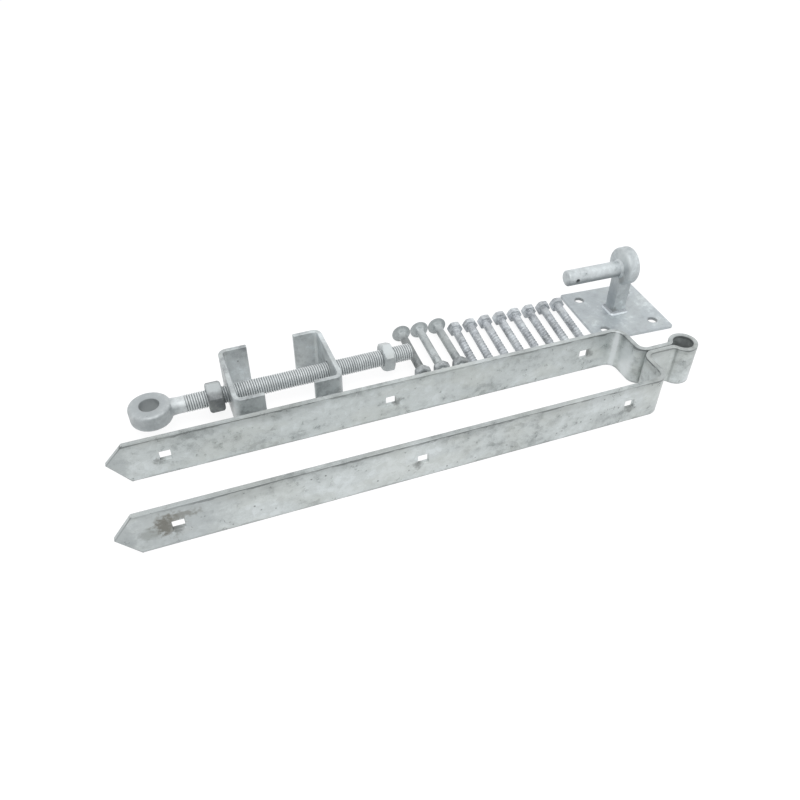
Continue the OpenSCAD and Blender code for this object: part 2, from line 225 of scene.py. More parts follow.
@dataclass(frozen=True)
class Zinc:
    """A hot-dip zinc coat.

    Attributes:
        name: The material's name.
        shade: Its mean colour.
        pale: Colour of its bright runs, and of its edges, which are lightened as wear and as a painted
            highlight.
        dull: Colour of its dark blotches.
        cloud: Size of the large clouds.
        flow: How the clouds are stretched; a number below 1 draws them out along that axis.
        blotch: Size of the blotches in them.
        contrast: How far blotches swing from the mean, from 0 to 1.
        pits: Share of the surface with dark pits, from 0 to 1.
        drips_and_shade: How strongly the runs below upper edges, the dark band along the foot and the painted
            shade on the upper face show, from 0 to 1.
        edge: How strongly edges are lightened, as wear and as a painted highlight, from 0 to 1.
        warm: How warm some clouds are, from 0 to 1.
        metal: How metallic it is.
        roughness: Its mean roughness.
        relief: Height of its lumps in millimetres.
        grime_and_shade: How dark the marked places are painted, from 0 to 1: painted shade in the roots of
            threads, and the marked faces of weld beads and of the strap's sheared points.
        shift: Offset of the pattern, so that like pieces differ.
        stains_and_painted_light: Patches laid on it: stains, painted shade and painted highlights.
    """

    name: str
    shade: Colour
    pale: Colour = (0.86, 0.89, 0.90)
    dull: Colour = (0.52, 0.55, 0.56)
    cloud: float = 42.0
    flow: Point = (1.0, 1.0, 1.0)
    blotch: float = 9.0
    contrast: float = 0.5
    pits: float = 0.3
    drips_and_shade: float = 0.0
    edge: float = 0.2
    warm: float = 0.1
    metal: float = 0.55
    roughness: float = 0.44
    relief: float = 0.10
    grime_and_shade: float = 0.35
    shift: Point = (0.0, 0.0, 0.0)
    stains_and_painted_light: tuple[StainOrPaintedLight, ...] = ()

    def material(self) -> bpy.types.Material:
        """Builds the coat's material, or finds the one that is there.

        Returns:
            The material.
        """
        known = bpy.data.materials.get(self.name)
        if known:
            return known
        made = bpy.data.materials.new(self.name)
        made.use_nodes = True
        graph = Graph(made.node_tree)
        place = graph.add("ShaderNodeTexCoord", output="Object")
        where = graph.stretch(place, (1.0, 1.0, 1.0), tuple(s * MM for s in self.shift))
        cloud = graph.noise(graph.stretch(where, self.flow), self.cloud, detail=4.0, roughness=0.6)
        blotch = graph.noise(where, self.blotch, detail=6.0, roughness=0.62)
        grain = graph.noise(where, GRAIN_SIZE, detail=3.0, roughness=0.6)
        spangle = self._spangle(graph, where, blotch)
        pit = self._pit_mask(graph, where)
        tone = ((cloud - 0.5) * 1.7 + (blotch - 0.5) * 1.1 + (spangle - 0.5) * 0.22
                + (grain - 0.5) * 0.40) * (1.5 * self.contrast)
        colour = graph.mix(tone.ramp(0.04, -0.48), linear(self.shade), linear(self.dull))
        colour = graph.mix(tone.ramp(0.0, 0.38), colour, linear(self.pale))
        if self.warm:
            drift = graph.stretch(where, self.flow, (0.37, 0.11, 0.23))
            tint = graph.noise(drift, 0.7 * self.cloud, detail=3.0, roughness=0.5)
            colour = graph.mix(tint.ramp(0.46, 0.62) * self.warm, colour, linear(WARM_ZINC))
        colour = graph.mix(pit * 0.75, colour, self._deep(0.62))
        if self.drips_and_shade:
            colour = graph.mix(self._drip_and_shade_mask(graph, place), colour, self._deep(0.72))
        # Edges lightened to the pale colour, as wear and as a painted highlight.
        if self.edge:
            worn_and_sheen = self._edge_mask(graph) * blotch.ramp(0.28, 0.5) * self.edge
            colour = graph.mix(worn_and_sheen, colour, linear(self.pale))
        # Darkens the places marked as groove: painted shade in thread roots, and the marked faces of weld
        # beads and of the strap's sheared points.
        groove = graph.add("ShaderNodeAttribute", {"attribute_name": "groove"}, output="Fac")
        colour = graph.mix(groove * self.grime_and_shade, colour, self._deep(0.66))
        # Laid last: stains, and patches of painted shade and painted highlight.
        if self.stains_and_painted_light:
            ragged = (graph.noise(place, 9.0, detail=5.0, roughness=0.65) * 0.62
                      + graph.noise(place, 3.4, detail=2.0, roughness=0.5) * 0.38 - 0.5)
            for patch in self.stains_and_painted_light:
                colour = self._patched(graph, place, ragged, patch, colour)
        rough = (blotch - 0.5) * 0.30 + (spangle - 0.5) * 0.10 + self.roughness
        height = grain * 0.30 + blotch * 0.9 + cloud * 0.5 - pit * 1.6
        bump = graph.add("ShaderNodeBump", {}, {
            "Strength": 0.55, "Distance": self.relief * MM * 2, "Height": height})
        shader = graph.add("ShaderNodeBsdfPrincipled", {}, {
            "Base Color": colour, "Metallic": self.metal, "Roughness": rough.ramp(0.0, 1.0), "Normal": bump})
        graph.add("ShaderNodeOutputMaterial", {}, {"Surface": shader})
        return made

    def darker(self, share: float) -> "Zinc":
        """The same coat with its colours dimmed to a share."""
        dim = {key: tuple(share * c for c in getattr(self, key)) for key in ("shade", "pale", "dull")}
        return replace(self, **dim)

    def _deep(self, share: float) -> tuple[float, float, float, float]:
        """The dull colour, deepened to a share."""
        return linear(tuple(share * c for c in self.dull))

    def _spangle(self, graph: Graph, where: Sock, warp: Sock) -> Sock:
        """Draws the zinc's flat crystals.

        Args:
            graph: The tree.
            where: Coordinates of the pattern.
            warp: What bends the crystals' edges.

        Returns:
            The brightness of each crystal, from 0 to 1.
        """
        bent = graph.add("ShaderNodeVectorMath", {"operation": "ADD"}, {0: where, 1: warp * 0.004})
        cell = graph.add("ShaderNodeTexVoronoi", {"feature": "F1"},
                         {"Vector": bent, "Scale": 1 / (SPANGLE_SIZE * MM), "Randomness": 1.0}, "Color")
        return graph.add("ShaderNodeSeparateColor", {}, {0: cell}, "Red")

    def _pit_mask(self, graph: Graph, where: Sock) -> Sock:
        """Draws small dark pits, in some of a scatter of cells.

        Args:
            graph: The tree.
            where: Coordinates of the pattern.

        Returns:
            1 in a pit and 0 beside it.
        """
        scatter = {"Vector": where, "Scale": 1 / (PIT_SPACING * MM), "Randomness": 1.0}
        near = graph.add("ShaderNodeTexVoronoi", {"feature": "F1"}, scatter, "Distance")
        cell = graph.add("ShaderNodeTexVoronoi", {"feature": "F1"}, scatter, "Color")
        chosen = graph.add("ShaderNodeSeparateColor", {}, {0: cell}, "Green")
        return near.ramp(0.16, 0.07) * chosen.ramp(1 - self.pits, 1 - self.pits + 0.08)

    def _drip_and_shade_mask(self, graph: Graph, place: Sock) -> Sock:
        """Draws the runs, a dark line below the strap's upper edge and smears under it, with a dark band
        along its foot and painted shade on its upper face.

        Args:
            graph: The tree.
            place: Coordinates in the set's frame.

        Returns:
            How much of the coat the runs, the foot's band and the painted shade hide.
        """
        height = graph.add("ShaderNodeSeparateXYZ", {}, {0: place}, "Z")
        long = graph.noise(graph.stretch(place, (0.25, 0.25, 1.0)), 5.0, detail=5.0, roughness=0.62)
        wide = graph.noise(graph.stretch(place, (0.3, 0.3, 1.0)), 26.0, detail=5.0, roughness=0.6)
        below_rim = height.ramp((RIM - 0.4) * MM, (RIM - 1.1) * MM)
        line = (height + (long - 0.5) * (9 * MM)).ramp((RIM - 3.4) * MM, (RIM - 2) * MM) * below_rim
        line = line * (wide.ramp(0.38, 0.54) * 0.6 + 0.4)
        smear = (height + (wide - 0.5) * (46 * MM)).ramp((RIM - 15) * MM, (RIM + 2) * MM) * below_rim * 0.36
        crust = (long - (height - (RIM - 1) * MM) * 60).ramp(0.58, 0.66)
        crust = crust * height.ramp((RIM - 3) * MM, (RIM - 1.5) * MM) * wide.ramp(0.44, 0.54) * 0.9
        # A dark band along the strap's foot.
        foot = (height - (long - 0.5) * (7 * MM)).ramp(2.6 * MM, 1.2 * MM) * 0.45
        # Painted shade on the strap's upper face.
        top = height.ramp((RIM - 0.8) * MM, (RIM - 0.1) * MM) * (wide.ramp(0.36, 0.60) * 0.3 + 0.15)
        most = line
        for other in (crust, smear, foot, top):
            most = graph.add("ShaderNodeMath", {"operation": "MAXIMUM"}, {0: most, 1: other})
        return most * self.drips_and_shade

    def _edge_mask(self, graph: Graph) -> Sock:
        """Finds where the surface turns sharply, as along an edge.

        Args:
            graph: The tree.

        Returns:
            1 on an edge and 0 away from it.
        """
        rounded = graph.add("ShaderNodeBevel", {"samples": 4}, {"Radius": WORN_EDGE * MM})
        flat = graph.add("ShaderNodeNewGeometry", output="Normal")
        same = graph.add("ShaderNodeVectorMath", {"operation": "DOT_PRODUCT"}, {0: rounded, 1: flat}, "Value")
        return same.ramp(0.985, 0.86)

    def _patched(self, graph: Graph, place: Sock, ragged: Sock, patch: StainOrPaintedLight, colour: Sock) -> Sock:
        """Lays a ragged patch over a colour: a stain, painted shade or a painted highlight.

        Args:
            graph: The tree.
            place: Coordinates in the set's frame.
            ragged: Noise about 0 that frays the patch's outline.
            patch: The patch.
            colour: The colour below it.

        Returns:
            The colour with the patch on it.
        """
        shift = tuple(-c / r for c, r in zip(patch.centre, patch.reach))
        local = graph.stretch(place, tuple(1 / (r * MM) for r in patch.reach), shift)
        far = graph.add("ShaderNodeVectorMath", {"operation": "LENGTH"}, {0: local}, "Value")
        mask = (far + ragged * patch.ragged).ramp(1.05, 0.45) * patch.strength
        return graph.mix(mask, colour, linear(patch.shade))


class Section(Enum):
    """Outline of a piece across its axis, by its number of sides."""

    ROUND = 0
    SQUARE = 4
    HEXAGON = 6

    def radius(self, inner: float, angle: float) -> float:
        """Distance from the axis to the outline.

        Args:
            inner: Distance from the axis to the middle of a side.
            angle: Direction from the axis, in radians, 0 being the middle of a side.

        Returns:
            The distance in that direction.
        """
        if self is Section.ROUND:
            return inner
        side = FULL_TURN / self.value
        return inner / math.cos((angle + side / 2) % side - side / 2)


@dataclass(frozen=True)
class Turn:
    """One station along a turned or forged piece.

    Attributes:
        z: Its place along the axis.
        r: Distance from the axis to the middle of a side.
        section: Its outline.
        limit: Radius that its corners are turned down to.
    """

    z: float
    r: float
    section: Section = Section.ROUND
    limit: float = math.inf


@dataclass(frozen=True)
class Thread:
    """A right-hand screw thread on a shank.

    Attributes:
        start: Where it begins along the axis.
        end: Where it ends.
        crest: Radius at its crests.
        root: Radius at its roots.
        pitch: Distance between crests.
        shank: Radius of the plain shank that it starts from.
        run_in: Length over which it deepens.
        taper: Length of a tapered tip, or 0.
        tip: Radius at the tip's end.
        chamfer: Length of a 45 degree chamfer at the end, or 0.
        sharp: Share of the pitch that its crest and flanks take, from 0 to 1.
    """

    start: float
    end: float
    crest: float
    root: float
    pitch: float
    shank: float
    run_in: float
    taper: float = 0.0
    tip: float = 0.0
    chamfer: float = 0.0
    sharp: float = 0.85

    def height(self, share: float) -> float:
        """How high the thread stands at a share of its pitch, from 0 at the root to 1 at the crest."""
        rise = 1 - abs(2 * share - 1)
        return smooth((rise - (1 - self.sharp)) / (self.sharp * 0.82))

    def radius(self, z: float, height: float) -> float:
        """Works out the surface's distance from the axis.

        Args:
            z: Place along the axis.
            height: How high the thread stands there, from 0 to 1.

        Returns:
            The radius.
        """
        cut = self.root + (self.crest - self.root) * height
        into = smooth((z - self.start) / self.run_in)
        radius = self.shank + (cut - self.shank) * into
        if self.taper:
            left = min(1.0, (self.end - z) / self.taper)
            radius *= (self.tip + (self.crest - self.tip) * left) / self.crest
        if self.chamfer:
            radius = min(radius, self.crest - self.chamfer + (self.end - z))
        return radius


class Shell:
    """Points and faces of one skin, gathered in millimetres."""

    def __init__(self) -> None:
        """Starts empty."""
        self.points: list[Vector] = []
        self.grooves: list[float] = []
        self.faces: list[tuple[int, ...]] = []

    def ring(self, points: Iterable[Vector], groove: float = 0.0) -> list[int]:
        """Adds points.

        Args:
            points: The points, in order.
            groove: How deep in a groove they lie, from 0 to 1.

        Returns:
            Their numbers.
        """
        first = len(self.points)
        self.points.extend(points)
        self.grooves.extend([groove] * (len(self.points) - first))
        return list(range(first, len(self.points)))

    def join(self, low: Sequence[int], high: Sequence[int]) -> None:
        """Closes the strip between two rings of as many points."""
        for i in range(len(low)):
            after = (i + 1) % len(low)
            self.faces.append((low[i], low[after], high[after], high[i]))

    def cap(self, ring: Sequence[int]) -> None:
        """Closes a ring with one face."""
        self.faces.append(tuple(ring))

    def loft(self, rings: Sequence[Sequence[int]], loop: bool = False) -> None:
        """Joins rings in order.

        Args:
            rings: Rings of as many points.
            loop: Whether the last is joined to the first, where otherwise both ends are closed.
        """
        for low, high in zip(rings, rings[1:]):
            self.join(low, high)
        if loop:
            self.join(rings[-1], rings[0])
        else:
            self.cap(rings[0][::-1])
            self.cap(rings[-1])

    def turned(self, turns: Sequence[Turn], steps: int = ROUND_STEPS, loop: bool = False) -> None:
        """Adds a piece turned or forged about the Z axis.

        Args:
            turns: Its stations, in order along its skin.
            steps: Points round the axis.
            loop: Whether the skin closes on itself, as round a bore.
        """
        self.loft([self.station(turn, steps) for turn in turns], loop)

    def station(self, turn: Turn, steps: int) -> list[int]:
        """Adds the ring of one station.

        Args:
            turn: The station.
            steps: Points round the axis.

        Returns:
            The numbers of its points.
        """
        ring = []
        for i in range(steps):
            angle = FULL_TURN * i / steps
            radius = min(turn.section.radius(turn.r, angle), turn.limit)
            ring.append(Vector((radius * math.cos(angle), radius * math.sin(angle), turn.z)))
        return self.ring(ring)

    def threaded(self, thread: Thread, rows: int, steps: int = ROUND_STEPS) -> tuple[list[int], list[int]]:
        """Adds a helical thread, whose rows of points follow the helix.

        Args:
            thread: Its sizes.
            rows: Points along one pitch.
            steps: Points round the axis.

        Returns:
            The point numbers of its first and last rings.
        """
        turns = math.ceil((thread.end - thread.start) / thread.pitch) + 2
        columns = []
        for i in range(steps):
            angle = FULL_TURN * i / steps
            column = []
            for row in range(turns * rows + 1):
                share = (row % rows) / rows
                z = thread.start + thread.pitch * (row / rows + i / steps - 1)
                z = min(max(z, thread.start), thread.end)
                height = thread.height(share)
                radius = thread.radius(z, height)
                if z <= thread.start:
                    radius = thread.shank
                if z >= thread.end:
                    radius = thread.radius(thread.end, 0.0)
                depth = (1 - height) * smooth((z - thread.start) / thread.run_in)
                point = Vector((radius * math.cos(angle), radius * math.sin(angle), z))
                column.append(self.ring([point], depth)[0])
            columns.append(column)
        last = turns * rows
        for i, column in enumerate(columns):
            wrap = rows if i == steps - 1 else 0
            beside = columns[(i + 1) % steps]
            for row in range(last - wrap):
                self.faces.append((column[row], beside[row + wrap], beside[row + wrap + 1], column[row + 1]))
        return [column[0] for column in columns], [column[last] for column in columns]

    def bolt(self, turns: Sequence[Turn], thread: Thread, rows: int) -> None:
        """Adds a turned or forged head and the threaded shank after it.

        Args:
            turns: The head's stations, in order.
            thread: The shank's thread.
            rows: Points along one pitch of it.
        """
        rings = [self.station(turn, ROUND_STEPS) for turn in turns]
        first, last = self.threaded(thread, rows)
        self.cap(rings[0][::-1])
        for low, high in zip(rings, rings[1:] + [first]):
            self.join(low, high)
        self.cap(last)

    def prism(self, outline: Sequence[tuple[float, float]], low: float, high: float) -> None:
        """Adds an upright prism over an outline that runs anticlockwise."""
        rings = [self.ring(Vector((x, y, z)) for x, y in outline) for z in (low, high)]
        self.loft(rings)

    def merge(self, other: "Shell", place: Matrix) -> None:
        """Adds another shell.

        Args:
            other: The shell.
            place: Where it goes in this one.
        """
        first = len(self.points)
        self.points.extend(place @ point for point in other.points)
        self.grooves.extend(other.grooves)
        self.faces.extend(tuple(first + i for i in face) for face in other.faces)

    def piece(self, name: str, place: Matrix = Matrix()) -> bpy.types.Object:
        """Makes the shell an object.

        Args:
            name: The object's name.
            place: Where it goes in the set's frame, in millimetres.

        Returns:
            The object, at the origin, with its place in its mesh.
        """
        mesh = bpy.data.meshes.new(name)
        mesh.from_pydata([(place @ p) * MM for p in self.points], [], self.faces)
        attribute = mesh.attributes.new("groove", "FLOAT", "POINT")
        attribute.data.foreach_set("value", self.grooves)
        work = bmesh.new()
        work.from_mesh(mesh)
        bmesh.ops.remove_doubles(work, verts=work.verts, dist=0.002 * MM)
        bmesh.ops.dissolve_degenerate(work, edges=work.edges, dist=0.002 * MM)
        bmesh.ops.recalc_face_normals(work, faces=work.faces)
        work.to_mesh(mesh)
        work.free()
        made = bpy.data.objects.new(name, mesh)
        bpy.context.scene.collection.objects.link(made)
        return made


def apply_modifiers(piece: bpy.types.Object) -> None:
    """Bakes an object's modifiers into its mesh.

    Args:
        piece: The object.
    """
    seen = piece.evaluated_get(bpy.context.evaluated_depsgraph_get())
    mesh = bpy.data.meshes.new_from_object(seen)
    piece.modifiers.clear()
    old = piece.data
    piece.data = mesh
    mesh.name = piece.name
    bpy.data.meshes.remove(old)


def carve(piece: bpy.types.Object, cutter: Shell, place: Matrix = Matrix()) -> None:
    """Cuts a shell out of a piece.

    Args:
        piece: The piece.
        cutter: The shell.
        place: Where the shell goes in the set's frame.
    """
    tool = cutter.piece("cutter", place)
    cut = piece.modifiers.new("cut", "BOOLEAN")
    cut.operation = "DIFFERENCE"
    cut.solver = "EXACT"
    cut.object = tool
    apply_modifiers(piece)
    mesh = tool.data
    bpy.data.objects.remove(tool)
    bpy.data.meshes.remove(mesh)


def soften(piece: bpy.types.Object, width: float, segments: int = 3, limit: float = 40.0) -> None:
    """Rounds a piece's edges.

    Args:
        piece: The piece.
        width: Width of the rounding in millimetres.
        segments: Strips of faces in it.
        limit: Least angle in degrees of an edge that is rounded.
    """
    bevel = piece.modifiers.new("bevel", "BEVEL")
    bevel.width = width * MM
    bevel.segments = segments
    bevel.limit_method = "ANGLE"
    bevel.angle_limit = math.radians(limit)
    bevel.use_clamp_overlap = True
    apply_modifiers(piece)


def forge(piece: bpy.types.Object, grain: float, passes: int, lumps: float) -> None:
    """Fuses a piece's overlapping shells into one skin, as in a forging.

    Args:
        piece: The piece.
        grain: Size of the new skin's faces in millimetres.
        passes: How many times the skin is smoothed.
        lumps: Height of the uneven surface in millimetres.
    """
    remesh = piece.modifiers.new("remesh", "REMESH")
    remesh.mode = "VOXEL"
    remesh.voxel_size = grain * MM
    ease = piece.modifiers.new("smooth", "SMOOTH")
    ease.factor = 0.5
    ease.iterations = passes
    apply_modifiers(piece)
    mesh = piece.data
    coarse, fine = (size * MM for size in LUMP_SIZES)
    places = []
    for vertex in mesh.vertices:
        swell = noise.noise(vertex.co / coarse) + 0.5 * noise.noise(vertex.co / fine) - 1.2
        places.extend(vertex.co + vertex.normal * swell * lumps * MM)
    mesh.vertices.foreach_set("co", places)
    mesh.update()


def shade(piece: bpy.types.Object, angle: float = 32.0) -> None:
    """Shades a piece smooth, with flat faces kept flat.

    Args:
        piece: The piece.
        angle: Angle in degrees above which an edge stays sharp.
    """
    piece.data.shade_smooth()
    piece.data.set_sharp_from_angle(angle=math.radians(angle))
    weigh = piece.modifiers.new("weigh", "WEIGHTED_NORMAL")
    weigh.keep_sharp = True
    weigh.weight = 60
    apply_modifiers(piece)


def dress(piece: bpy.types.Object, node: str, coat: Zinc) -> None:
    """Gives a piece its coat and lets it stand for its solid.

    Args:
        piece: The finished piece.
        node: The solid that it replaces.
        coat: Its coat of zinc.
    """
    piece.data.materials.clear()
    piece.data.materials.append(coat.material())
    body = next(b for b, nodes in frame["record"]["behaviour"]["bodies"].items() if node in nodes)
    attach(piece, body)
    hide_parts(node)
    low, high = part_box(node)
    corners = [vertex.co for vertex in piece.data.vertices]
    over = max(max(low[k] - min(c[k] for c in corners), max(c[k] for c in corners) - high[k])
               for k in range(3))
    log.info("%s: %d faces, %.2f mm past its solid", piece.name, len(piece.data.polygons), over / MM)


def mount(name: str) -> dict:
    """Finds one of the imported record's mounts."""
    return next(m for m in frame["record"]["mounts"] if m["name"] == name)


def joint(name: str) -> dict:
    """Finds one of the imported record's joints."""
    return next(j for j in frame["joints"] if j["name"] == name)


def moved(x: float, y: float, z: float) -> Matrix:
    """A move, in millimetres."""
    return Matrix.Translation((x, y, z))


def spun(degrees: float, axis: str) -> Matrix:
    """A turn about one of the axes."""
    return Matrix.Rotation(math.radians(degrees), 4, axis)


def spot(place: Matrix, x: float, y: float, z: float) -> Point:
    """Where a point of a placed piece is in the set's frame."""
    return tuple(place @ Vector((x, y, z)))


def stand(at: Point, along: Vector, up: Vector = Vector((0, 0, 1))) -> Matrix:
    """Places a piece by its axis.

    Args:
        at: Its origin in millimetres.
        along: Where its Z axis points.
        up: Where its X axis leans to.

    Returns:
        The placement.
    """
    z = along.normalized()
    x = (up - up.dot(z) * z).normalized()
    turned = Matrix((x, z.cross(x), z)).transposed().to_4x4()
    return Matrix.Translation(at) @ turned


# Colours of stains and of painted shade and highlights, and the coats of the pieces.
GREY = (0.50, 0.515, 0.51)
DARK = (0.36, 0.375, 0.38)
PALE = (0.93, 0.95, 0.955)
SHADED = (0.60, 0.625, 0.635)
STRAP = Zinc("strap_coat", (0.80, 0.825, 0.824), pale=(0.87, 0.895, 0.90), dull=(0.61, 0.635, 0.635),
             flow=(0.5, 1.0, 1.0), contrast=0.66, pits=0.10, drips_and_shade=0.9, edge=0.0, warm=0.20,
             metal=0.38, roughness=0.42, grime_and_shade=0.75)
BRACKET = Zinc("bracket_coat", (0.765, 0.79, 0.795), dull=(0.58, 0.60, 0.61), contrast=0.55, pits=0.1,
               edge=0.15, metal=0.3)
PLATE = Zinc("plate_coat", (0.74, 0.77, 0.785), dull=(0.65, 0.675, 0.695), cloud=40.0, contrast=0.55,
             pits=0.06, metal=0.35)
HOOK = Zinc("hook_coat", (0.805, 0.83, 0.84), dull=(0.66, 0.69, 0.70), cloud=24.0, blotch=6.0,
            pits=0.12, edge=0.0, warm=0.0, metal=0.35)
BEAD = Zinc("weld_coat", (0.88, 0.91, 0.93), pale=(0.97, 0.99, 0.99), dull=(0.80, 0.83, 0.86),
            contrast=0.4, pits=0.1, warm=0.0, metal=0.3, roughness=0.32, grime_and_shade=0.8)
ROD = Zinc("rod_coat", (0.90, 0.92, 0.925), dull=(0.74, 0.76, 0.77), cloud=30.0, blotch=6.0,
           contrast=0.4, pits=0.05, edge=0.0, warm=0.0, metal=0.25, relief=0.05, grime_and_shade=0.85)
BRIGHT_NUT = Zinc("nut_coat", (0.745, 0.77, 0.775), dull=(0.62, 0.64, 0.65), cloud=20.0,
                  contrast=0.45, pits=0.1, metal=0.15)
DULL_NUT = Zinc("dull_nut_coat", (0.60, 0.62, 0.63), pale=(0.77, 0.79, 0.80), dull=(0.42, 0.435, 0.445),
                cloud=16.0, blotch=5.0, contrast=0.6, pits=0.15, metal=0.0, roughness=0.6)
BOLT = Zinc("bolt_coat", (0.75, 0.775, 0.78), dull=(0.60, 0.62, 0.63), cloud=18.0, blotch=5.0,
            contrast=0.55, pits=0.1, edge=0.1, metal=0.3, grime_and_shade=0.2)
SCREW = Zinc("screw_coat", (0.735, 0.755, 0.775), pale=(0.84, 0.865, 0.88), dull=(0.56, 0.58, 0.60),
             cloud=14.0, blotch=3.2, contrast=0.75, pits=0.15, edge=0.1, metal=0.25, grime_and_shade=0.15)


class StrapRun:
    """The middle line of a bent strap, walked step by step as seen from above."""

    def __init__(self, x: float, y: float, heading: float, thickness: float) -> None:
        """Starts the walk.

        Args:
            x: Where it starts, in millimetres.
            y: The same, across.
            heading: Its way in degrees, anticlockwise from the X axis.
            thickness: The strap's thickness.
        """
        self.at = Vector((x, y))
        self.heading = math.radians(heading)
        self.thickness = thickness
        self.stations: list[tuple[Vector, float]] = [(self.at.copy(), self.heading)]

    def ahead(self, length: float) -> "StrapRun":
        """Goes straight on."""
        self.at = self.at + length * Vector((math.cos(self.heading), math.sin(self.heading)))
        self.stations.append((self.at.copy(), self.heading))
        return self

    def bend(self, degrees: float, inside: float) -> "StrapRun":
        """Bends the strap.

        Args:
            degrees: How far it turns, to the left, or to the right if negative.
            inside: Radius inside the bend.

        Returns:
            The walk itself.
        """
        side = math.copysign(1.0, degrees)
        radius = inside + self.thickness / 2
        centre = self.at + side * radius * Vector((-math.sin(self.heading), math.cos(self.heading)))
        start = self.heading
        steps = max(4, round(abs(degrees) / 5))
        for i in range(1, steps + 1):
            self.heading = start + math.radians(degrees) * i / steps
            self.at = centre + side * radius * Vector((math.sin(self.heading), -math.cos(self.heading)))
            self.stations.append((self.at.copy(), self.heading))
        return self

    def shell(self, low: float, high: float) -> Shell:
        """Stands the strap on edge along the walk.

        Args:
            low: Height of its lower edge.
            high: Height of its upper edge.

        Returns:
            Its skin.
        """
        made = Shell()
        rings = []
        for at, heading in self.stations:
            left = self.thickness / 2 * Vector((-math.sin(heading), math.cos(heading)))
            corners = ((at + left, low), (at - left, low), (at - left, high), (at + left, high))
            rings.append(made.ring(Vector((p.x, p.y, z)) for p, z in corners))
        made.loft(rings)
        return made


